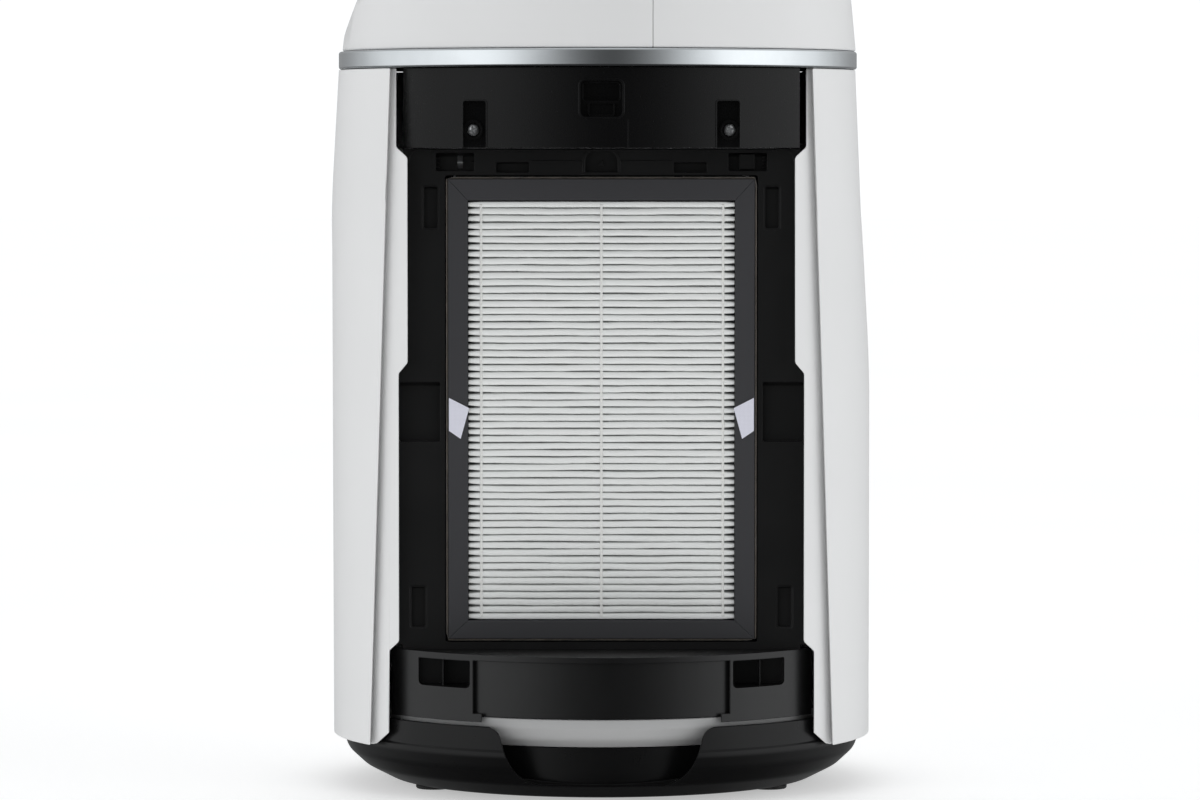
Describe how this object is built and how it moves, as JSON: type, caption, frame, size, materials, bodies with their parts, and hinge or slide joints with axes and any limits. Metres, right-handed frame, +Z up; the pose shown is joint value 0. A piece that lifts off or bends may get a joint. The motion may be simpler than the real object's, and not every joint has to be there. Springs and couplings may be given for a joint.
{
  "type": "air purifier",
  "caption": "Round tower air purifier with a slanted outlet, a chrome trim ring and pleated filters behind pull-off side covers.",
  "frame": {"origin": "on the floor under the middle of the round base", "axes": "+Z up; -X is the side that the outlet faces; -Y is the open filter side; right-handed"},
  "size_m": [0.3766, 0.3692, 0.7862],
  "materials": {
    "white_plastic": "smooth moulded white, soft gloss",
    "black_plastic": "satin moulded black, fine texture",
    "gloss_black": "polished black",
    "chrome_trim": "bright plated plastic",
    "zinc_screw": "zinc plated",
    "filter_card": "black coated card",
    "pleat_paper": "white pleated glass-fibre paper",
    "felt_strip": "dark felt",
    "ribbon": "white woven ribbon",
    "carbon_mat": "black pellets in a honeycomb",
    "grey_plastic": "moulded grey",
    "motor_steel": "drawn steel can",
    "circuit_board": "green lacquered board",
    "rubber_pad": "black rubber"
  },
  "bodies": {
    "housing": {"base_tray": "black_plastic", "lower_skirt": "white_plastic", "power_inlet": "black_plastic", "foot_front_left": "rubber_pad", "foot_front_right": "rubber_pad", "foot_rear_left": "rubber_pad", "foot_rear_right": "rubber_pad", "near_filter_bay": "black_plastic", "near_sill": "black_plastic", "near_upper_panel": "black_plastic", "near_panel_screw_left": "zinc_screw", "near_panel_screw_right": "zinc_screw", "far_filter_bay": "black_plastic", "far_sill": "black_plastic", "far_upper_panel": "black_plastic", "far_panel_screw_left": "zinc_screw", "far_panel_screw_right": "zinc_screw", "front_cover": "white_plastic", "rear_cover": "white_plastic", "fan_deck": "grey_plastic", "fan_housing": "grey_plastic", "fan_motor": "motor_steel", "motor_mount": "grey_plastic", "outlet_duct": "grey_plastic", "head_carrier": "black_plastic", "trim_ring": "chrome_trim", "outlet_bezel": "gloss_black", "outlet_grille": "black_plastic", "louvre_motor": "motor_steel", "head_front_casing": "white_plastic", "head_rear_casing": "white_plastic", "rear_handle_cup": "black_plastic", "sensor_cover": "white_plastic", "dust_sensor": "black_plastic", "control_panel": "gloss_black", "main_board": "circuit_board"},
    "near_filter": {"near_filter_frame": "filter_card", "near_pleated_medium": "pleat_paper", "near_filter_seal": "felt_strip", "near_carbon_filter": "carbon_mat", "near_pull_tab_left": "ribbon", "near_pull_tab_right": "ribbon"},
    "far_filter": {"far_filter_frame": "filter_card", "far_pleated_medium": "pleat_paper", "far_filter_seal": "felt_strip", "far_carbon_filter": "carbon_mat", "far_pull_tab_left": "ribbon", "far_pull_tab_right": "ribbon"},
    "far_cover": {"far_side_cover": "white_plastic", "far_cover_catch": "black_plastic"},
    "fan": {"impeller": "grey_plastic", "motor_shaft": "motor_steel"},
    "louvre_1": {"louvre_blade_1": "gloss_black"},
    "louvre_2": {"louvre_blade_2": "gloss_black"},
    "louvre_3": {"louvre_blade_3": "gloss_black"},
    "louvre_4": {"louvre_blade_4": "gloss_black"},
    "louvre_5": {"louvre_blade_5": "gloss_black"},
    "power_button": {"power_button": "grey_plastic"},
    "speed_button": {"speed_button": "grey_plastic"},
    "mode_button": {"mode_button": "grey_plastic"}
  },
  "joints": [
    {"name": "fan_spin", "type": "hinge", "parent": "housing", "child": "fan", "pos_m": [0, 0, 0.48], "axis": [0, 0, 1], "continuous": true},
    {"name": "near_filter_pull", "type": "slide", "parent": "housing", "child": "near_filter", "axis": [0, -1, 0], "range_m": [0, 0.08]},
    {"name": "far_cover_pull", "type": "slide", "parent": "housing", "child": "far_cover", "axis": [0, 1, 0], "range_m": [0, 0.12]},
    {"name": "far_filter_pull", "type": "slide", "parent": "housing", "child": "far_filter", "axis": [0, 1, 0], "range_m": [0, 0.06]},
    {"name": "louvre_1_tilt", "type": "hinge", "parent": "housing", "child": "louvre_1", "pos_m": [-0.13911, 0, 0.57447], "axis": [0, 1, 0], "range_deg": [-25, 25]},
    {"name": "louvre_2_tilt", "type": "hinge", "parent": "housing", "child": "louvre_2", "pos_m": [-0.12365, 0, 0.60918], "axis": [0, 1, 0], "range_deg": [-25, 25]},
    {"name": "louvre_3_tilt", "type": "hinge", "parent": "housing", "child": "louvre_3", "pos_m": [-0.1082, 0, 0.6439], "axis": [0, 1, 0], "range_deg": [-25, 25]},
    {"name": "louvre_4_tilt", "type": "hinge", "parent": "housing", "child": "louvre_4", "pos_m": [-0.09274, 0, 0.67861], "axis": [0, 1, 0], "range_deg": [-25, 25]},
    {"name": "louvre_5_tilt", "type": "hinge", "parent": "housing", "child": "louvre_5", "pos_m": [-0.07729, 0, 0.71333], "axis": [0, 1, 0], "range_deg": [-25, 25]},
    {"name": "power_press", "type": "slide", "parent": "housing", "child": "power_button", "axis": [0, 0, -1], "range_m": [0, 0.0015], "stiffness_N_per_m": 400, "springref_m": -0.0005},
    {"name": "speed_press", "type": "slide", "parent": "housing", "child": "speed_button", "axis": [0, 0, -1], "range_m": [0, 0.0015], "stiffness_N_per_m": 400, "springref_m": -0.0005},
    {"name": "mode_press", "type": "slide", "parent": "housing", "child": "mode_button", "axis": [0, 0, -1], "range_m": [0, 0.0015], "stiffness_N_per_m": 400, "springref_m": -0.0005}
  ],
  "couplings": [
    {"joint": "far_filter_pull", "follows": "far_cover_pull", "ratio": 0.5},
    {"joint": "louvre_2_tilt", "follows": "louvre_1_tilt", "ratio": 1},
    {"joint": "louvre_3_tilt", "follows": "louvre_1_tilt", "ratio": 1},
    {"joint": "louvre_4_tilt", "follows": "louvre_1_tilt", "ratio": 1},
    {"joint": "louvre_5_tilt", "follows": "louvre_1_tilt", "ratio": 1}
  ]
}
